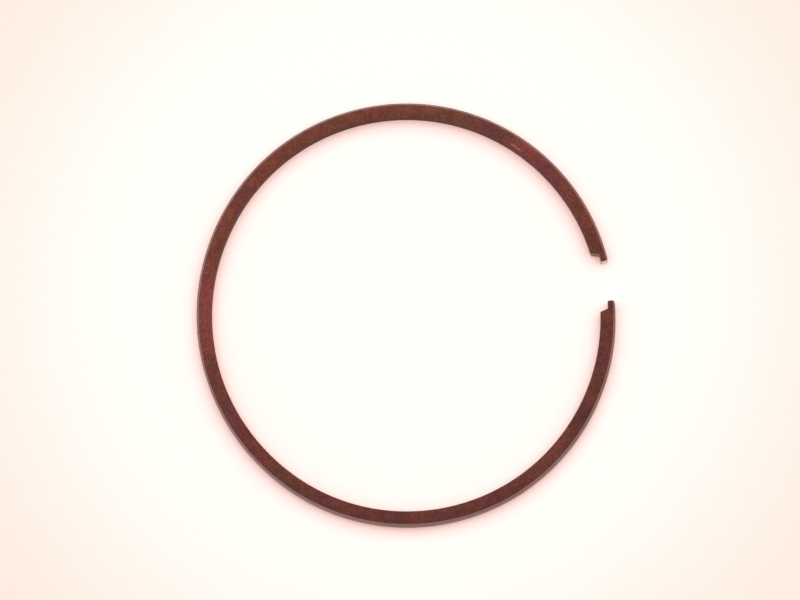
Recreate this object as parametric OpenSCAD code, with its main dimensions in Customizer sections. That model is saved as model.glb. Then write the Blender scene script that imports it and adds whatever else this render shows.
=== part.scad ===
// Compression ring of a two-stroke piston, in its free and uncompressed state.
// It lies flat on its lower side face, with the gap between its ends towards +X.
// The origin is the middle of the ring, at the level of the lower side face.

/* [Ring] */
// Cylinder bore that the ring is made for
bore_d = 66; // [50:0.5:100]
// Axial height, from the lower side face to the upper one
axial_h = 2; // [1:0.1:4]
// Radial wall, from the running face to the inner face
radial_t = 2.4; // [1.8:0.1:4]

/* [Free shape] */
// Gap between the ends at mid wall when nothing squeezes the ring
free_gap = 6.3; // [2:0.1:12]
// Gap left between the ends when the ring is closed in its bore
closed_gap = 0.3; // [0.1:0.05:1]
// Diameter through the gap less the one across it, as a tape closes the ring
ovality = -1.5; // [-2.5:0.1:1]

/* [Edges] */
// Bevel along both edges of the running face
outer_bevel = 0.25; // [0.05:0.05:0.4]
// Bevel along both edges of the inner face
inner_bevel = 0.1; // [0.05:0.05:0.3]
// Rounding of the outer corner of each tip
tip_round = 0.35; // [0.05:0.05:0.5]

/* [Locating notch] */
// Length of the notch along the ring, from each tip to its shoulder
notch_l = 1.3; // [0.8:0.05:3]
// Depth of the notch, from the inner face to its floor
notch_d = 1.25; // [0.6:0.05:1.5]
// Lean of the shoulder away from the gap, in degrees
shoulder_lean = 18; // [0:1:30]
// Fillet between the floor and the shoulder
notch_fillet = 0.3; // [0.1:0.05:0.5]
// Rounding of the inner corner of each tip, where the floor ends
finger_round = 0.25; // [0.05:0.05:0.4]

/* [Hidden] */
$fn = 360;
coat_colour = "#6e3c32";
// How far a cutting shape runs past the metal that it cuts
past = 1;
deg = 180 / PI;

// Radius of the mid-wall line when the ring is closed in its bore
mid_r = (bore_d - radial_t) / 2;
// Angle round the closed ring from its back to a tip
tip_from_back = 180 - closed_gap / 2 / mid_r * deg;

// Free shape of a ring that presses evenly on its bore: bending it closed adds a
// curvature of k * (1 + cos(a)) / mid_r at the angle a from the back. The ovality adds
// a term in cos(2 * a). Their integral is how far the free mid-wall line has turned.
function turn(a, k) =
    a - k * (a + sin(a) * deg) + 3 * ovality / (8 * mid_r) * sin(2 * a) * deg;

// Angle from the back of the closed ring at which the free line has turned by t
function angle_at(t, k, a = 0, tries = 8) =
    tries == 0 ? a : angle_at(t, k, a + t - turn(a, k), tries - 1);

// True arcs follow the free shape: one at the back, one on each side and one before each
// tip, with tangent joints where the wall faces 45 and 135 degrees. An arc keeps its
// length of the closed ring and takes its mean curvature of the free one. Radii are
// rounded to a tenth of a micrometre, so that both sides of a joint are the same.
function arc_radius(a, turned) = round(1e4 * mid_r * a / turned) / 1e4;
function back_radius(k) = arc_radius(angle_at(45, k), 45);
function side_radius(k) = arc_radius(angle_at(135, k) - angle_at(45, k), 90);
function front_radius(k) =
    arc_radius(tip_from_back - angle_at(135, k), turn(tip_from_back, k) - 135);

// Mid-wall point of the tip on the +Y side, from the centre of the back's arc
function tip_point(k) =
    let (
        b = back_radius(k),
        s = side_radius(k),
        f = front_radius(k),
        a = 180 - turn(tip_from_back, k)
    )
    [2 * s - b - f, b - f] / sqrt(2) + f * [cos(a), sin(a)];
function gap_at(k) = 2 * tip_point(k).y;

// Spring of the ring: the thin-ring value, then in proportion until the true gap is right
function spring_for(k, tries) =
    tries == 0
    ? k
    : spring_for(k * (free_gap - gap_at(0)) / (gap_at(k) - gap_at(0)), tries - 1);
spring = spring_for((free_gap - closed_gap) / (3 * PI * mid_r), 4);

back_r = back_radius(spring);
side_r = side_radius(spring);
front_r = front_radius(spring);
tip_p = tip_point(spring);
tip_a = 180 - turn(tip_from_back, spring);

// Floor of the notch, from mid wall
floor_x = notch_d - radial_t / 2;

// Middle of the ring between its back and its tips
middle_x = (tip_p.x + radial_t / 2 * cos(tip_a) - back_r - radial_t / 2) / 2;

// Cross-section of the wall about its mid line, with its bevelled edges
module section() {
    inner = -radial_t / 2;
    outer = radial_t / 2;
    polygon([
        [inner + inner_bevel, 0],
        [outer - outer_bevel, 0],
        [outer, outer_bevel],
        [outer, axial_h - outer_bevel],
        [outer - outer_bevel, axial_h],
        [inner + inner_bevel, axial_h],
        [inner, axial_h - inner_bevel],
        [inner, inner_bevel],
    ]);
}

// Wall along an arc of a given mid-wall radius
module arc(r, angle) {
    rotate_extrude(angle = angle)
        translate([r, 0])
            section();
}

// Side arc and front arc on the +Y side, in a frame turned by 45 degrees
module side_and_front() {
    translate([0, back_r - side_r])
        arc(side_r, 90);
    translate([side_r - front_r, back_r - side_r])
        mirror([0, 1, 0])
            arc(front_r, 45 - tip_a);
}

// The whole wall, still with plain ends. The joints lie on the axes of the turned frame.
module wall() {
    rotate(45) {
        rotate(90)
            arc(back_r, 90);
        side_and_front();
        mirror([1, 1, 0])
            side_and_front();
    }
}

// Plan of the step that is cut into the inner side of an end for the groove's pin
module notch_plan() {
    inner = -radial_t / 2;
    // The fillet touches the floor and the shoulder at this distance from their corner
    touch = notch_fillet / tan((90 + shoulder_lean) / 2);
    fillet_y = notch_l - touch;
    polygon([
        [floor_x, -past],
        [floor_x, fillet_y],
        [floor_x - touch * cos(shoulder_lean), notch_l + touch * sin(shoulder_lean)],
        [inner - past, notch_l + (notch_d + past) * tan(shoulder_lean)],
        [inner - past, -past],
    ]);
    translate([floor_x - notch_fillet, fillet_y])
        circle(r = notch_fillet);
}

// Plan of the sliver that a rounding takes off a corner with its wall towards -X
module corner_plan(r) {
    translate([-r, 0])
        difference() {
            translate([0, -past])
                square([r + past, r + past]);
            translate([0, r])
                circle(r = r);
        }
}

// What is cut from the end on the +Y side: x runs out across the wall, y back along it
module end_cut() {
    translate([tip_p.x, tip_p.y, -past])
        rotate(tip_a)
            linear_extrude(axial_h + 2 * past) {
                notch_plan();
                translate([radial_t / 2, 0])
                    corner_plan(tip_round);
                translate([floor_x, 0])
                    mirror([1, 0])
                        corner_plan(finger_round);
            }
}

module piston_ring() {
    color(coat_colour)
        translate([-middle_x, 0])
            difference() {
                wall();
                end_cut();
                mirror([0, 1, 0])
                    end_cut();
            }
}

piston_ring();
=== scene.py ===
import math

import bpy
from mathutils import Matrix, Vector


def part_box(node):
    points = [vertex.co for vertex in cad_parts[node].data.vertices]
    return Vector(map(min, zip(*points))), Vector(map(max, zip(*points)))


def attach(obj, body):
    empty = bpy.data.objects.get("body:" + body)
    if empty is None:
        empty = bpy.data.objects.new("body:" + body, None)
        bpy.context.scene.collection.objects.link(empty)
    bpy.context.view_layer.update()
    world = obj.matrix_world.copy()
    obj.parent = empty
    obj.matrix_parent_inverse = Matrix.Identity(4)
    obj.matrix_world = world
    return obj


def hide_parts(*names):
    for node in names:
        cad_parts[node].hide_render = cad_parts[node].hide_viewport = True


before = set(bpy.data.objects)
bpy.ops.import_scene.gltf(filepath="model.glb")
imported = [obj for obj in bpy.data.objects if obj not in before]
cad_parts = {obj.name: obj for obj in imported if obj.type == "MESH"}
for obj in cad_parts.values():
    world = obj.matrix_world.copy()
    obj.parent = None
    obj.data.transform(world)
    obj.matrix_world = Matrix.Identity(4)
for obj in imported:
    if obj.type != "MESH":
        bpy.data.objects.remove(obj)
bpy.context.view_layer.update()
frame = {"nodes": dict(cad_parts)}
print("frame loaded:", ", ".join(frame["nodes"]))


def mix(a, b, share):
    return a + (b - a) * share


def smooth(share):
    return share * share * (3 - 2 * share)


def sinD(a):
    return math.sin(math.radians(a))


def cosD(a):
    return math.cos(math.radians(a))


def facing(a):      # the way that an angle points on the plan
    return Vector((cosD(a), sinD(a)))


def flat(places):
    return [c for place in places for c in place]


# The ring. Lengths are in metres and angles in degrees.
ringSpec = {
    "boreD": 0.066,
    "radialT": 0.0024,
    "freeGap": 0.0063,
    "closedGap": 0.0003,
    "ovality": -0.0015,
    "outerBevel": 0.00025,
    "tipBevel": 0.0002,        # the outer bevel as it runs out round a tip
    "innerBevel": 0.0001,
    "edgeBreak": 0.00004,      # fine break on the notch's and the tips' edges
    "softness": 0.25,          # share of a bevel that its two corners round off
    "tipRound": 0.00035,
    "tipInnerRound": 0.00025,
    "notchL": 0.0013,
    "notchD": 0.00125,
    "shoulderLean": 18.0,
    "notchFillet": 0.0003,
    "shoulderRound": 0.00015,
    "bevelRun": 0.0008,        # length over which the inner bevel grows behind the shoulder
    "arcStations": 330,        # sections from a shoulder to the back of the ring
    "endSteps": 6,             # sections on each bend of an end
}

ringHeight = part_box("piston_ring")[1][2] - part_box("piston_ring")[0][2]


# Mid-wall line of the free ring on the +Y side: three tangent arcs from the back to the tip, with
# joints where the wall faces 135 and 45 degrees. An arc is the lowest angle that it faces, its
# centre and its radius.
def freeShape(spec):
    midR = (spec["boreD"] - spec["radialT"]) / 2
    tipFromBack = 180 - math.degrees(spec["closedGap"] / 2 / midR)

    # How far the free line has turned at an angle from the back of the closed ring
    def turn(a, spring):
        oval = 3 * spec["ovality"] / (8 * midR) * math.degrees(sinD(2 * a))
        return a - spring * (a + math.degrees(sinD(a))) + oval

    def angleAt(turned, spring):
        a = 0.0
        for _ in range(8):       # each round comes much closer
            a += turned - turn(a, spring)
        return a

    def radii(spring):
        first, second = angleAt(45, spring), angleAt(135, spring)
        back = midR * first / 45
        side = midR * (second - first) / 90
        front = midR * (tipFromBack - second) / (turn(tipFromBack, spring) - 135)
        return back, side, front

    def frontCentre(back, side, front):
        return Vector((2 * side - back - front, back - front)) / math.sqrt(2)

    def tipPoint(spring):
        back, side, front = radii(spring)
        return frontCentre(back, side, front) + front * facing(180 - turn(tipFromBack, spring))

    # The spring of a thin ring, then in proportion until the gap is right
    closed = 2 * tipPoint(0).y
    spring = (spec["freeGap"] - spec["closedGap"]) / (3 * math.pi * midR)
    for _ in range(4):
        spring *= (spec["freeGap"] - closed) / (2 * tipPoint(spring).y - closed)

    back, side, front = radii(spring)
    tip = tipPoint(spring)
    tipA = 180 - turn(tipFromBack, spring)
    middle = Vector(((tip.x + spec["radialT"] / 2 * (cosD(tipA) - 1) - back) / 2, 0))
    arcs = [
        (135, Vector((0, 0)) - middle, back),
        (45, Vector((side - back, back - side)) / math.sqrt(2) - middle, side),
        (-90, frontCentre(back, side, front) - middle, front),
    ]
    return {"arcs": arcs, "tip": tip - middle, "tipA": tipA, "frontR": front}


shape = freeShape(ringSpec)


# Point of the ring where its wall faces the angle a, this far out from mid wall
def wallPoint(a, out):
    for start, centre, radius in shape["arcs"]:
        if a >= start:
            return centre + (radius + out) * facing(a)


# A place by the tip: x out across the wall, y back along the ring
def tipPlace(x, y):
    outward = facing(shape["tipA"])
    alongBack = Vector((-outward.y, outward.x))
    return shape["tip"] + x * outward + y * alongBack


def tipTurned(x, y):
    return tipPlace(x, y) - shape["tip"]


# Inner edge of an end behind its tip: floor of the notch, fillet, shoulder, the shoulder's rounded
# corner, and the inner face while its bevel grows. Each place has the way that it faces, its bevel
# and if it is bare metal. The angle at which the plain wall starts comes with them.
def innerEdge(spec):
    half = spec["radialT"] / 2
    floorX = -half + spec["notchD"]
    leanA = spec["shoulderLean"]
    fillet = spec["notchFillet"]
    filletY = spec["notchL"] - fillet / math.tan(math.radians((90 + leanA) / 2))
    steps = spec["endSteps"]
    fine = spec["edgeBreak"]
    boreR = shape["frontR"] - half
    edge = []

    for i in range(1, steps + 1):
        floor = tipPlace(floorX, mix(spec["tipInnerRound"], filletY, i / steps))
        edge.append((floor, tipTurned(-1, 0), fine, True))
    for i in range(1, 2 * steps + 1):
        a = (90 - leanA) * i / (2 * steps)
        spot = Vector((floorX - fillet + fillet * cosD(a), filletY + fillet * sinD(a)))
        edge.append((tipPlace(*spot), tipTurned(-cosD(a), -sinD(a)), fine, True))

    # The shoulder runs from the fillet towards the curved inner face and stops short of its corner
    down = Vector((-cosD(leanA), sinD(leanA)))
    corner = spot.copy()
    for _ in range(12):       # closes in on the corner
        turned = math.asin(corner.y / boreR)
        corner = spot + down * (spot.x + shape["frontR"] - boreR * math.cos(turned)) / -down.x
    before = corner - down * spec["shoulderRound"]
    shoulderFace = tipTurned(-sinD(leanA), -cosD(leanA))
    for i in range(1, steps + 1):
        edge.append((tipPlace(*mix(spot, before, i / steps)), shoulderFace, fine, True))

    afterA = shape["tipA"] + math.degrees(turned + spec["shoulderRound"] / boreR)
    after = wallPoint(afterA, -half)
    for i in range(1, steps + 1):
        share = i / steps
        first = mix(tipPlace(*before), tipPlace(*corner), share)
        second = mix(tipPlace(*corner), after, share)
        face = mix(shoulderFace, -facing(afterA), share)
        edge.append((mix(first, second, share), face, fine, i < steps))
    plainA = afterA + math.degrees(spec["bevelRun"] / boreR)
    for i in range(1, steps + 1):
        a = mix(afterA, plainA, i / steps)
        bevel = mix(fine, spec["innerBevel"], smooth(i / steps))
        edge.append((wallPoint(a, -half), -facing(a), bevel, False))
    return edge, plainA


# Sections from the +Y tip to the back. Each one has an outer and an inner point of the plan, the
# way that these two edges face, the size of their bevels, if its inner wall is bare metal, how
# freshly it is cut, and its place along the ring.
def halfStations(spec):
    half = spec["radialT"] / 2
    floorX = -half + spec["notchD"]
    tipRound, tipInner = spec["tipRound"], spec["tipInnerRound"]
    steps = spec["endSteps"]
    fine = spec["edgeBreak"]
    stations = []

    def add(outer, outerFace, outerBevel, inner, innerFace, innerBevel, bare, fresh=0.0):
        stations.append({
            "outer": outer, "outerFace": outerFace.normalized(), "outerBevel": outerBevel,
            "inner": inner, "innerFace": innerFace.normalized(), "innerBevel": innerBevel,
            "bare": bare, "fresh": fresh,
        })

    for i in range(steps + 1):      # round the tip, from its end face to its flanks
        share = 1 - i / steps
        a = -90 * share
        outer = tipPlace(half - tipRound + tipRound * cosD(a), tipRound + tipRound * sinD(a))
        inner = tipPlace(floorX + tipInner - tipInner * cosD(a), tipInner + tipInner * sinD(a))
        bevel = max(fine, spec["tipBevel"] * cosD(a))
        add(outer, tipTurned(cosD(a), sinD(a)), bevel,
            inner, tipTurned(-cosD(a), sinD(a)), fine, True, smooth(share))

    edge, plainA = innerEdge(spec)
    startA = shape["tipA"] + math.degrees(tipRound / shape["frontR"])
    for i, (spot, face, bevel, bare) in enumerate(edge, 1):
        a = mix(startA, plainA, i / len(edge))
        outerBevel = mix(spec["tipBevel"], spec["outerBevel"], smooth(i / len(edge)))
        add(wallPoint(a, half), facing(a), outerBevel, spot, face, bevel, bare)

    for i in range(1, spec["arcStations"] + 1):
        a = mix(plainA, 180, i / spec["arcStations"])
        add(wallPoint(a, half), facing(a), spec["outerBevel"],
            wallPoint(a, -half), -facing(a), spec["innerBevel"], False)

    run = 0.0
    last = None
    for station in stations:
        mid = (station["outer"] + station["inner"]) / 2
        run += (mid - last).length if last else 0.0
        station["along"] = run
        last = mid
    for station in stations:
        station["along"] = run - station["along"]     # counted from the back of the ring
    return stations


def mirrored(station):
    other = dict(station)
    for key in ("outer", "outerFace", "inner", "innerFace"):
        other[key] = Vector((station[key].x, -station[key].y))
    other["along"] = -station["along"]
    return other


capShares = [0, 0.03, 0.1, 0.25, 0.5, 0.75, 0.9, 0.97, 1]   # rows across a side face
wallShares = [0.05, 0.5, 0.95]                               # rows up a wall between its bevels
rimWear = 0.6                                                # edge wear where a bevel starts
wearFade = 0.1                                               # share of a side face that it fades over


# Rows of one edge, from its side face round its bevel to its wall, at the top of the ring. Each
# row is its distance in from the wall, its height and its share of edge wear.
def edgeRows(bevel, softness):
    soft = bevel * softness
    slant = soft / math.sqrt(2)
    top = ringHeight
    return [(bevel + soft, top, rimWear), (bevel - slant, top - slant, 1.0),
            (slant, top - bevel + slant, 1.0), (0.0, top - bevel - soft, rimWear)]


# All rows of a section, in order round it: the upper side face from the outside in, the inner
# edge and wall, the lower side face from the inside out, the outer edge and wall
def sectionRows(station, softness):
    outerRows = edgeRows(station["outerBevel"], softness)
    innerRows = edgeRows(station["innerBevel"], softness)

    def place(key, depth, z):
        spot = station[key] - station[key + "Face"] * depth
        return Vector((spot.x, spot.y, z))

    def cap(z):
        a = place("outer", outerRows[0][0], z)
        b = place("inner", innerRows[0][0], z)
        return [(mix(a, b, s), rimWear * (1 - min(1, min(s, 1 - s) / wearFade))) for s in capShares]

    def column(key, rows):
        upper = [(place(key, depth, z), wear) for depth, z, wear in rows[1:]]
        lower = [(place(key, depth, ringHeight - z), wear) for depth, z, wear in rows[1:]]
        top, bottom = rows[-1][1], ringHeight - rows[-1][1]
        between = [(place(key, 0, mix(top, bottom, s)), 0.0) for s in wallShares]
        return upper + between + lower[::-1]

    inner = column("inner", innerRows)
    outer = column("outer", outerRows)
    return cap(ringHeight) + inner + cap(0.0)[::-1] + outer[::-1]


capCount = len(capShares)
columnCount = 3 + len(wallShares) + 3          # three rows on each bevel, and those between
rowCount = 2 * (capCount + columnCount)
innerFirst = capCount                          # first row of the inner edge and wall
outerFirst = 2 * capCount + columnCount        # first row of the outer edge and wall
coatSlot, bareSlot = 0, 1


def addPoint(skin, place, edge, flow, fresh):
    skin["points"].append(place)
    skin["edge"].append(edge)
    skin["flow"].append(flow)
    skin["fresh"].append(fresh)


def addFace(skin, corners, slot, places):
    skin["faces"].append(corners)
    skin["slots"].append(slot)
    skin["map"] += places


# Flat map of the surface: the ring's skin in a few strips, one above the other, and each tip's end
# face beside its strip. A part has its start and length across the map, and up its strip.
mapSpec = {
    "strips": 5,
    "side": ((0.01, 0.93), (0.05, 0.9)),
    "tip": ((0.96, 0.03), (0.1, 0.2)),
}


def mapPlace(part, strip, x, y):
    (left, width), (low, tall) = mapSpec[part]
    return (left + width * x, (strip + low + tall * y) / mapSpec["strips"])


def layPoints(skin, stations, sections):
    for station, section in zip(stations, sections):
        inward = (station["inner"] - station["outer"]).normalized()
        for place, edge in section:
            depth = (Vector((place.x, place.y)) - station["outer"]).dot(inward)
            addPoint(skin, place, edge, (station["along"], depth, place.z), station["fresh"])


def skinSides(skin, stations, sections):
    strips = mapSpec["strips"]
    length = stations[0]["along"] - stations[-1]["along"]
    runs = [(stations[0]["along"] - s["along"]) / length * strips for s in stations]
    plain = [place for place, edge in sections[len(sections) // 2]]
    girth = [0.0]
    for k in range(rowCount):
        girth.append(girth[-1] + (plain[(k + 1) % rowCount] - plain[k]).length)

    for i in range(len(stations) - 1):
        bareHere = stations[i]["bare"] and stations[i + 1]["bare"]
        strip = min(strips - 1, int((runs[i] + runs[i + 1]) / 2))
        for k in range(rowCount):
            onOuter = k >= outerFirst - 1
            onInner = innerFirst - 1 <= k < innerFirst + columnCount
            slot = bareSlot if onOuter or onInner and bareHere else coatSlot
            cells = [(i, k), (i + 1, k), (i + 1, k + 1), (i, k + 1)]
            corners = [s * rowCount + r % rowCount for s, r in cells]
            places = [mapPlace("side", strip, runs[s] - strip, girth[r] / girth[-1]) for s, r in cells]
            addFace(skin, corners, slot, places)


# End face of a tip: rows across it join its outer column to its inner one. The first and the last
# of them are rows of the side faces.
def closeTip(skin, station, strip):
    base = station * rowCount
    innerColumn = [innerFirst - 1 + k for k in range(columnCount + 2)]
    outerColumn = [0] + [rowCount - 1 - k for k in range(columnCount + 1)]
    grid = []
    for rowOut, rowIn in zip(outerColumn, innerColumn):
        a, b = base + rowOut, base + rowIn
        line = [a]
        for c, share in enumerate(capShares[1:-1], 1):
            if rowOut == 0:
                line.append(base + c)
            elif rowOut == outerFirst - 1:
                line.append(base + outerFirst - 1 - c)
            else:
                line.append(len(skin["points"]))
                place = mix(skin["points"][a], skin["points"][b], share)
                edge = mix(skin["edge"][a], skin["edge"][b], share)
                along, depth = skin["flow"][a][0], mix(skin["flow"][a][1], skin["flow"][b][1], share)
                addPoint(skin, place, edge, (along, depth, place.z), 1.0)
        grid.append(line + [b])

    for r in range(len(grid) - 1):
        for c in range(capCount - 1):
            cells = [(r, c), (r, c + 1), (r + 1, c + 1), (r + 1, c)]
            if station > 0:      # the far tip faces the other way
                cells.reverse()
            corners = [grid[y][x] for y, x in cells]
            places = [mapPlace("tip", strip, capShares[x], y / len(grid)) for y, x in cells]
            addFace(skin, corners, bareSlot, places)


def buildRing(spec):
    upper = halfStations(spec)
    stations = upper + [mirrored(s) for s in reversed(upper[:-1])]
    sections = [sectionRows(s, spec["softness"]) for s in stations]
    skin = {key: [] for key in ("points", "edge", "flow", "fresh", "faces", "slots", "map")}
    layPoints(skin, stations, sections)
    skinSides(skin, stations, sections)
    closeTip(skin, 0, 0)
    closeTip(skin, len(stations) - 1, mapSpec["strips"] - 1)

    mesh = bpy.data.meshes.new("pistonRing")
    mesh.from_pydata(skin["points"], [], skin["faces"])
    mesh.polygons.foreach_set("material_index", skin["slots"])
    mesh.attributes.new("edge", "FLOAT", "POINT").data.foreach_set("value", skin["edge"])
    mesh.attributes.new("fresh", "FLOAT", "POINT").data.foreach_set("value", skin["fresh"])
    mesh.attributes.new("flow", "FLOAT_VECTOR", "POINT").data.foreach_set("vector", flat(skin["flow"]))
    mesh.uv_layers.new(name="OFBake").data.foreach_set("uv", flat(skin["map"]))
    mesh.shade_smooth()
    mesh.update()
    ring = bpy.data.objects.new("ring", mesh)
    bpy.context.scene.collection.objects.link(ring)
    return ring


ring = buildRing(ringSpec)
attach(ring, "root")
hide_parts("piston_ring")
print("ring built:", len(ring.data.vertices), "vertices,", len(ring.data.polygons), "faces")


# Node helpers. A value given as a socket is linked and any other value is set.
def fill(tree, socket, value):
    if isinstance(value, bpy.types.NodeSocket):
        tree.links.new(value, socket)
    else:
        socket.default_value = value


def addNode(tree, kind, inputs, **settings):
    node = tree.nodes.new(kind)
    for key, value in settings.items():
        setattr(node, key, value)
    for key, value in inputs.items():
        fill(tree, node.inputs[key], value)
    return node


def calc(tree, operation, a, b=0.0, clamp=False):
    node = addNode(tree, "ShaderNodeMath", {0: a, 1: b}, operation=operation, use_clamp=clamp)
    return node.outputs[0]


def times(tree, a, b):
    return calc(tree, "MULTIPLY", a, b)


def vectorCalc(tree, operation, a, b, output):
    return addNode(tree, "ShaderNodeVectorMath", {0: a, 1: b}, operation=operation).outputs[output]


def blend(tree, share, a, b, kind="MIX"):
    node = addNode(tree, "ShaderNodeMix", {0: share, 6: a, 7: b}, data_type="RGBA", blend_type=kind)
    return node.outputs[2]      # 6, 7 and 2 are the sockets for colours


# A value carried from one range to another, by a soft step unless curve says otherwise
def span(tree, value, low, high, toLow=0.0, toHigh=1.0, curve="SMOOTHSTEP"):
    values = {"Value": value, "From Min": low, "From Max": high, "To Min": toLow, "To Max": toHigh}
    return addNode(tree, "ShaderNodeMapRange", values, interpolation_type=curve).outputs["Result"]


def startGroup(name, inputs, output):
    tree = bpy.data.node_groups.new(name, "ShaderNodeTree")
    for label, kind in inputs.items():
        tree.interface.new_socket(label, in_out="INPUT", socket_type="NodeSocket" + kind)
    tree.interface.new_socket(output, in_out="OUTPUT", socket_type="NodeSocketFloat")
    return tree, tree.nodes.new("NodeGroupInput").outputs, tree.nodes.new("NodeGroupOutput").inputs


def useGroup(tree, group, inputs):
    node = tree.nodes.new("ShaderNodeGroup")
    node.node_tree = group
    for key, value in inputs.items():
        fill(tree, node.inputs[key], value)
    return node.outputs[0]


# What the three shared effects have in common wherever they are used
effectSpec = {
    "lineBreaks": 60.0,        # breaks in a tool line to the metre
    "rubScale": 700.0,         # scale of the noise that breaks up a rubbed edge
    "rubSpan": (0.35, 1.0),    # from where to where rubbing shows
}


# Uneven patches: where a soft noise rises from Low to High
def patchGroup():
    inputs = {"Place": "Vector", "Scale": "Float", "Low": "Float", "High": "Float"}
    tree, given, made = startGroup("patches", inputs, "Mask")
    noise = addNode(tree, "ShaderNodeTexNoise", {
        "Vector": given["Place"], "Scale": given["Scale"], "Detail": 3.0, "Roughness": 0.55})
    fill(tree, made["Mask"], span(tree, noise.outputs["Fac"], given["Low"], given["High"]))
    return tree


# Fine tool lines along the ring, a centimetre or two long
def lineGroup():
    tree, given, made = startGroup("toolLines", {"Flow": "Vector", "Density": "Float"}, "Lines")
    density = addNode(tree, "ShaderNodeCombineXYZ", {
        "X": effectSpec["lineBreaks"], "Y": given["Density"], "Z": given["Density"]}).outputs[0]
    noise = addNode(tree, "ShaderNodeTexNoise", {
        "Vector": vectorCalc(tree, "MULTIPLY", given["Flow"], density, "Vector"),
        "Scale": 1.0, "Detail": 2.0, "Roughness": 0.6})
    fill(tree, made["Lines"], noise.outputs["Fac"])
    return tree


# Rubbed edges: the edge mark broken up by noise
def wearGroup():
    inputs = {"Edge": "Float", "Place": "Vector", "Reach": "Float"}
    tree, given, made = startGroup("edgeWear", inputs, "Mask")
    noise = addNode(tree, "ShaderNodeTexNoise", {
        "Vector": given["Place"], "Scale": effectSpec["rubScale"], "Detail": 4.0, "Roughness": 0.65})
    uneven = times(tree, noise.outputs["Fac"], 2.0)      # about 1 on average
    broken = times(tree, times(tree, given["Edge"], uneven), given["Reach"])
    fill(tree, made["Mask"], span(tree, broken, *effectSpec["rubSpan"]))
    return tree


patches = patchGroup()
toolLines = lineGroup()
edgeWear = wearGroup()
noiseSpan = (0.3, 0.7)      # from the low to the high places of a noise


def patchMask(tree, place, values):
    scale, low, high = values
    return useGroup(tree, patches, {"Place": place, "Scale": scale, "Low": low, "High": high})


def startMaterial(name):
    material = bpy.data.materials.new(name)
    material.use_nodes = True
    tree = material.node_tree
    shader = tree.nodes["Principled BSDF"]
    place = tree.nodes.new("ShaderNodeTexCoord").outputs["Object"]
    flow = addNode(tree, "ShaderNodeAttribute", {}, attribute_name="flow").outputs["Vector"]
    edge = addNode(tree, "ShaderNodeAttribute", {}, attribute_name="edge").outputs["Fac"]
    return material, tree, shader, place, flow, edge


def bump(tree, shader, height, depth):
    node = addNode(tree, "ShaderNodeBump", {"Height": height, "Strength": 1.0, "Distance": depth})
    fill(tree, shader.inputs["Normal"], node.outputs["Normal"])


# How far a place lies towards an angle on the plan, from -1 to 1 across the ring
def towards(tree, place, angle):
    radius = ringSpec["boreD"] / 2
    way = (cosD(angle) / radius, sinD(angle) / radius, 0)
    return vectorCalc(tree, "DOT_PRODUCT", place, way, "Value")


# Brown phosphate coat of the side faces and the bore, with painted sheen on the side faces and painted
# shade in the bore
coatSpec = {
    "plum": (0.131, 0.0289, 0.0272, 1),
    "olive": (0.117, 0.0375, 0.0210, 1),
    "rust": (0.151, 0.0356, 0.0200, 1),
    "dark": (0.054, 0.0154, 0.0164, 1),
    "worn": (0.230, 0.110, 0.090, 1),
    # Patches: their scale, and from where to where in the noise they fade in
    "olivePatches": (110.0, 0.36, 0.66),
    "rustPatches": (290.0, 0.38, 0.66),
    "darkPatches": (620.0, 0.35, 0.72),
    "speckle": (2300.0, *noiseSpan),
    "grain": (6500.0, *noiseSpan),
    "rustShare": 0.6,
    "darkShare": 0.42,
    "wornShare": 0.3,
    "wornReach": 0.9,
    "lineDensity": 9000.0,     # tool lines to the metre
    # Tones in the low and in the high places
    "lineTone": (0.92, 1.1),
    "speckleTone": (0.84, 1.24),
    "grainTone": (0.78, 1.3),
    "slope": 0.145,            # how much the tone changes from one side of the ring to the other
    "slopeWay": 103.0,         # towards the lighter side
    "farWay": 90.0,            # towards the far side
    "oliveMore": 0.17,         # more olive there
    "paintedSheen": 0.15,             # painted sheen: how much the far edge of a face is lighter than its near edge
    # painted shade: the share of its tone that the bore and its inner bevel keep
    "paintedBoreShade": 0.75,
    "specular": 0.12,
    "roughness": (0.5, 0.68),
    "wornPolish": 0.12,
    "relief": 0.000006,        # height of the grain and the tool lines, in these shares
    "grainRelief": 0.7,
    "lineRelief": 0.5,
    # Angle on the ring, place across from the outside, length, width, colour, strength
    "stains": [
        (170, 0.0012, 0.0085, 0.0085, (0.195, 0.041, 0.034, 1), 0.6),
        (45, 0.0012, 0.0050, 0.0050, (0.185, 0.042, 0.033, 1), 0.5),
        (46.5, 0.00185, 0.0013, 0.00017, (0.330, 0.150, 0.120, 1), 0.65),    # a light scratch
        (54, 0.0010, 0.0045, 0.0045, (0.070, 0.022, 0.023, 1), 0.45),
        (-53, 0.0019, 0.0070, 0.0030, (0.175, 0.046, 0.028, 1), 0.4),
        (-38, 0.0008, 0.0028, 0.0028, (0.052, 0.020, 0.024, 1), 0.4),
        (-5.6, 0.0009, 0.0008, 0.0008, (0.045, 0.018, 0.018, 1), 0.6),
    ],
    "stainCore": 0.2,          # share of a stain at full strength
    "stainRagged": (0.75, 1.3),
}


# How strong a stain is at a place: it fades out from a long spot, with a ragged rim
def stainMask(tree, place, ragged, spec, angle, inward, size, strength):
    spot = wallPoint(abs(angle), ringSpec["radialT"] / 2 - inward)
    local = addNode(tree, "ShaderNodeMapping", {
        "Vector": place,
        "Location": (spot.x, math.copysign(spot.y, angle), ringHeight),
        "Rotation": (0, 0, math.radians(angle)),
        "Scale": size}, vector_type="TEXTURE").outputs["Vector"]
    away = addNode(tree, "ShaderNodeVectorMath", {0: local}, operation="LENGTH").outputs["Value"]
    away = times(tree, away, span(tree, ragged, 0, 1, *spec["stainRagged"]))
    return span(tree, away, spec["stainCore"], 1.0, strength, 0)


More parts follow.
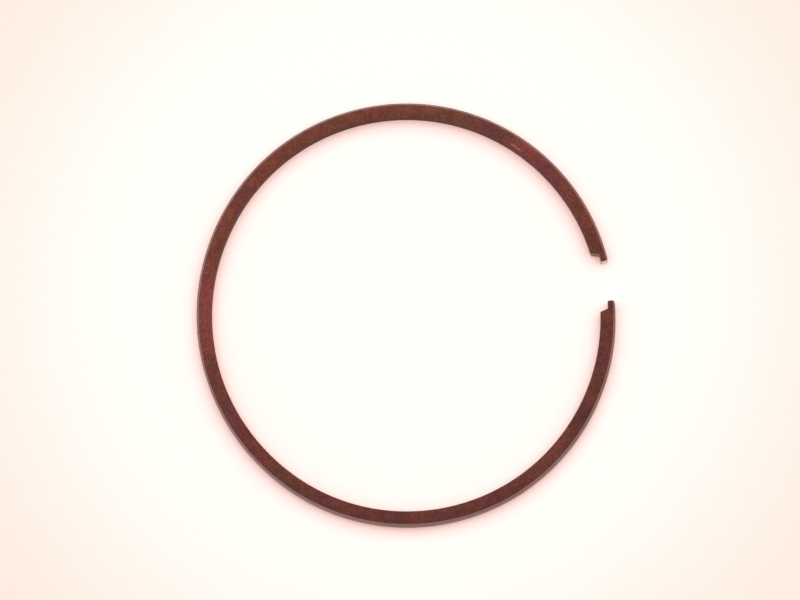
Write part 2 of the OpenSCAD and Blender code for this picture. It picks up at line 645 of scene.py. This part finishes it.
def coatMaterial(spec):
    material, tree, shader, place, flow, edge = startMaterial("coatedIron")
    depth = addNode(tree, "ShaderNodeSeparateXYZ", {0: flow}).outputs["Y"]
    olive = patchMask(tree, place, spec["olivePatches"])
    rust = patchMask(tree, place, spec["rustPatches"])
    dark = patchMask(tree, place, spec["darkPatches"])
    speckle = patchMask(tree, place, spec["speckle"])
    grain = patchMask(tree, place, spec["grain"])
    lines = useGroup(tree, toolLines, {"Flow": flow, "Density": spec["lineDensity"]})
    worn = useGroup(tree, edgeWear, {"Edge": edge, "Place": place, "Reach": spec["wornReach"]})

    farther = towards(tree, place, spec["farWay"])
    olive = calc(tree, "ADD", olive, times(tree, farther, spec["oliveMore"]), True)
    colour = blend(tree, olive, spec["plum"], spec["olive"])
    colour = blend(tree, times(tree, rust, spec["rustShare"]), colour, spec["rust"])
    colour = blend(tree, times(tree, dark, spec["darkShare"]), colour, spec["dark"])
    for angle, inward, long, wide, stain, strength in spec["stains"]:
        mask = stainMask(tree, place, dark, spec, angle, inward, (wide, long, wide), strength)
        colour = blend(tree, mask, colour, stain)

    thick = ringSpec["radialT"]
    lighter = towards(tree, place, spec["slopeWay"])
    # painted sheen: the far edge of each side face lighter and its near edge darker, turning round
    # between the far and the near side of the ring
    paintedSheen = span(tree, depth, 0, thick, spec["paintedSheen"], -spec["paintedSheen"], "LINEAR")
    tone = span(tree, lighter, -1, 1, 1 - spec["slope"], 1 + spec["slope"])
    tone = times(tree, tone, calc(tree, "ADD", times(tree, paintedSheen, farther), 1.0))
    tone = times(tree, tone, span(tree, lines, *noiseSpan, *spec["lineTone"]))
    tone = times(tree, tone, span(tree, speckle, 0, 1, *spec["speckleTone"]))
    tone = times(tree, tone, span(tree, grain, 0, 1, *spec["grainTone"]))
    # painted shade: the inner bevel and the bore darker
    bevelStart = thick - ringSpec["innerBevel"]
    tone = times(tree, tone, span(tree, depth, bevelStart, thick, 1.0, spec["paintedBoreShade"]))
    colour = blend(tree, 1.0, colour, tone, "MULTIPLY")
    colour = blend(tree, times(tree, worn, spec["wornShare"]), colour, spec["worn"])
    fill(tree, shader.inputs["Base Color"], colour)

    rough = span(tree, grain, 0, 1, *spec["roughness"])
    rough = calc(tree, "SUBTRACT", rough, times(tree, worn, spec["wornPolish"]))
    fill(tree, shader.inputs["Roughness"], rough)
    shader.inputs["Specular IOR Level"].default_value = spec["specular"]
    grainHeight = times(tree, grain, spec["grainRelief"])
    height = calc(tree, "ADD", grainHeight, times(tree, lines, spec["lineRelief"]))
    bump(tree, shader, height, spec["relief"])
    return material


# Bare metal of the ground running face and the notch, and of the ends, which are cut last, with
# painted shade on the ground metal towards one side
bareSpec = {
    "ground": (0.255, 0.170, 0.160, 1),
    "groundFilm": (0.150, 0.060, 0.048, 1),   # coat left in the low places
    "cut": (0.72, 0.65, 0.61, 1),
    "cutFilm": (0.42, 0.30, 0.26, 1),
    "filmShare": 0.45,
    "broadFilm": (160.0, 0.36, 0.7),          # its patches, as in the coat
    "smallFilm": (1800.0, 0.4, 0.7),
    "wornFilm": 0.4,                          # share of it that stays on a rubbed edge
    "wornReach": 1.0,
    "paintedShade": 0.35,                         # painted shade: more film colour towards one side of the ring
    "paintedShadeWay": -42.0,
    "paintedShadeFrom": -0.5,                         # how far towards it that starts
    "lineDensity": 22000.0,                   # tool lines to the metre
    "lineTone": (0.86, 1.1),
    "filmSpan": (0.1, 0.6),                   # film and painted shade over which the metal turns dull
    "metallic": (1.0, 0.5),
    "roughSpan": (0.3, 1.1),                  # film, painted shade and tool lines over which it turns rough
    "roughness": (0.3, 0.46),
    "relief": 0.000005,                       # height of the tool lines
    "filmRelief": 0.3,                        # and of the small patches beside them
}


def bareMaterial(spec):
    material, tree, shader, place, flow, edge = startMaterial("bareIron")
    fresh = addNode(tree, "ShaderNodeAttribute", {}, attribute_name="fresh").outputs["Fac"]
    broad = patchMask(tree, place, spec["broadFilm"])
    small = patchMask(tree, place, spec["smallFilm"])
    lines = useGroup(tree, toolLines, {"Flow": flow, "Density": spec["lineDensity"]})
    worn = useGroup(tree, edgeWear, {"Edge": edge, "Place": place, "Reach": spec["wornReach"]})

    filmAndShade = times(tree, calc(tree, "ADD", broad, small), spec["filmShare"] / 2)
    filmAndShade = times(tree, filmAndShade, span(tree, worn, 0, 1, 1.0, spec["wornFilm"]))
    # painted shade: film colour added on the ground metal towards one side, not on fresh cuts
    more = span(tree, towards(tree, place, spec["paintedShadeWay"]), spec["paintedShadeFrom"], 1, 0, spec["paintedShade"])
    filmAndShade = calc(tree, "ADD", filmAndShade, times(tree, more, calc(tree, "SUBTRACT", 1.0, fresh)))
    metal = blend(tree, fresh, spec["ground"], spec["cut"])
    coat = blend(tree, fresh, spec["groundFilm"], spec["cutFilm"])
    tone = span(tree, lines, *noiseSpan, *spec["lineTone"])
    colour = blend(tree, 1.0, blend(tree, filmAndShade, metal, coat), tone, "MULTIPLY")
    fill(tree, shader.inputs["Base Color"], colour)

    fill(tree, shader.inputs["Metallic"], span(tree, filmAndShade, *spec["filmSpan"], *spec["metallic"]))
    rough = span(tree, calc(tree, "ADD", lines, filmAndShade), *spec["roughSpan"], *spec["roughness"])
    fill(tree, shader.inputs["Roughness"], rough)
    height = calc(tree, "ADD", lines, times(tree, small, spec["filmRelief"]))
    bump(tree, shader, height, spec["relief"])
    return material


for material in (coatMaterial(coatSpec), bareMaterial(bareSpec)):      # in the order of the slots
    ring.data.materials.append(material)
print("materials:", ", ".join(m.name for m in ring.data.materials))


# What shows the background: the camera itself, and metal or glass that mirrors it
def seenShare(tree):
    light = tree.nodes.new("ShaderNodeLightPath").outputs
    seen = calc(tree, "MAXIMUM", light["Is Camera Ray"], light["Is Glossy Ray"])
    return calc(tree, "MAXIMUM", seen, light["Is Transmission Ray"])


# Paper under the ring, brighter than white in the middle, with a painted falloff of light: darker and
# warmer towards its edges
paperSpec = {
    "size": 3.0,
    "height": -0.00002,
    "colour": (0.97, 0.95, 0.92, 1),
    "falloffColour": (0.94, 0.83, 0.77, 1),
    "lift": (0.30, 0.085, 0.075, 1),     # pink haze over the paper as it is seen
    "falloffLift": (0.24, 0.04, 0.02, 1),
    "centre": (-0.001, 0.003),
    "edge": (0.040, 0.082),              # where the painted falloff to the warm edge starts and is full
    "fibre": (900.0, *noiseSpan),
    "fibreTone": (0.985, 1.0),
}


def paperMaterial(spec):
    material = bpy.data.materials.new("paper")
    material.use_nodes = True
    tree = material.node_tree
    tree.nodes.remove(tree.nodes["Principled BSDF"])
    place = tree.nodes.new("ShaderNodeTexCoord").outputs["Object"]
    fibre = patchMask(tree, place, spec["fibre"])
    away = vectorCalc(tree, "DISTANCE", place, (*spec["centre"], 0), "Value")
    # painted falloff of light towards the paper's edges
    outward = span(tree, away, *spec["edge"])
    colour = blend(tree, outward, spec["colour"], spec["falloffColour"])
    colour = blend(tree, 1.0, colour, span(tree, fibre, 0, 1, *spec["fibreTone"]), "MULTIPLY")
    diffuse = addNode(tree, "ShaderNodeBsdfDiffuse", {"Color": colour})
    lift = blend(tree, outward, spec["lift"], spec["falloffLift"])
    glow = addNode(tree, "ShaderNodeEmission", {"Color": lift, "Strength": seenShare(tree)})
    both = addNode(tree, "ShaderNodeAddShader", {0: diffuse.outputs[0], 1: glow.outputs[0]})
    fill(tree, tree.nodes["Material Output"].inputs["Surface"], both.outputs[0])
    return material


def buildPaper(spec):
    half = spec["size"] / 2
    corners = [(-half, -half, 0), (half, -half, 0), (half, half, 0), (-half, half, 0)]
    mesh = bpy.data.meshes.new("paper")
    mesh.from_pydata(corners, [], [(0, 1, 2, 3)])
    mesh.materials.append(paperMaterial(spec))
    paper = bpy.data.objects.new("paper", mesh)
    paper.location.z = spec["height"]
    bpy.context.scene.collection.objects.link(paper)
    return paper


buildPaper(paperSpec)


# Light: pale walls, brighter at the sides, and one broad soft light overhead on the far side
lightSpec = {
    "walls": (1.0, 0.98, 0.96, 1),
    "wallLevel": 0.42,
    "sides": 1.0,       # how much more the left and right walls give, and the others less
    "overhead": (1.0, 0.98, 0.96),
    "power": 7.84,
    "size": 1.6,
    "distance": 0.8,
    "way": 69.0,        # where on the plan it stands
    "rise": 73.0,       # its height as an angle
}


def buildWalls(spec):
    world = bpy.data.worlds.new("walls")
    world.use_nodes = True
    bpy.context.scene.world = world
    tree = world.node_tree
    looking = tree.nodes.new("ShaderNodeTexCoord").outputs["Generated"]
    looking = addNode(tree, "ShaderNodeSeparateXYZ", {0: looking}).outputs
    aside = times(tree, looking["X"], looking["X"])
    ahead = times(tree, looking["Y"], looking["Y"])
    more = times(tree, calc(tree, "SUBTRACT", aside, ahead), spec["sides"])
    level = times(tree, calc(tree, "ADD", more, 1.0), spec["wallLevel"])
    pale = tree.nodes["Background"]
    pale.inputs["Color"].default_value = spec["walls"]
    fill(tree, pale.inputs["Strength"], level)
    white = addNode(tree, "ShaderNodeBackground", {"Color": (1, 1, 1, 1), "Strength": 1.0})
    both = addNode(tree, "ShaderNodeMixShader", {
        0: seenShare(tree), 1: pale.outputs[0], 2: white.outputs[0]})
    fill(tree, tree.nodes["World Output"].inputs["Surface"], both.outputs[0])


def buildOverhead(spec):
    lamp = bpy.data.lights.new("overhead", "AREA")
    lamp.shape = "DISK"
    lamp.size = spec["size"]
    lamp.energy = spec["power"]
    lamp.color = spec["overhead"]
    overhead = bpy.data.objects.new("overhead", lamp)
    reach = spec["distance"] * cosD(spec["rise"])
    overhead.location = (reach * cosD(spec["way"]), reach * sinD(spec["way"]),
                         spec["distance"] * sinD(spec["rise"]))
    overhead.rotation_euler = overhead.location.to_track_quat("Z", "Y").to_euler()
    bpy.context.scene.collection.objects.link(overhead)


buildWalls(lightSpec)
buildOverhead(lightSpec)
print("paper and light set")


# The photo's view, from almost straight above and with the camera turned a little
cameraSpec = {
    "azimuth": 1.6,
    "elevation": 78.5,
    "roll": 10.7,
    "distance": 1.0,
    "sensor": 36.0,                  # in millimetres
    "image": (800, 600),
    "scale": 6256.0,                 # pixels to the metre at the ring
    "origin": (405.5, 315.75),       # pixel where the middle of the ring's underside shows
}


def buildCamera(spec):
    azimuth, elevation = spec["azimuth"], spec["elevation"]
    back = Vector((sinD(azimuth) * cosD(elevation), -cosD(azimuth) * cosD(elevation), sinD(elevation)))
    level = Vector((cosD(azimuth), sinD(azimuth), 0))
    upright = back.cross(level)
    right = level * cosD(spec["roll"]) - upright * sinD(spec["roll"])
    up = level * sinD(spec["roll"]) + upright * cosD(spec["roll"])
    width, height = spec["image"]
    aim = right * ((width / 2 - spec["origin"][0]) / spec["scale"])
    aim = aim + up * ((spec["origin"][1] - height / 2) / spec["scale"])

    lens = bpy.data.cameras.new("camera")
    lens.sensor_width = spec["sensor"]
    lens.lens = spec["scale"] * spec["distance"] * spec["sensor"] / width
    camera = bpy.data.objects.new("camera", lens)
    turned = Matrix((right, up, back)).transposed().to_4x4()
    camera.matrix_world = Matrix.Translation(aim + back * spec["distance"]) @ turned
    bpy.context.scene.collection.objects.link(camera)
    bpy.context.scene.camera = camera


buildCamera(cameraSpec)
bpy.context.scene.view_settings.view_transform = "Standard"
print("camera set")
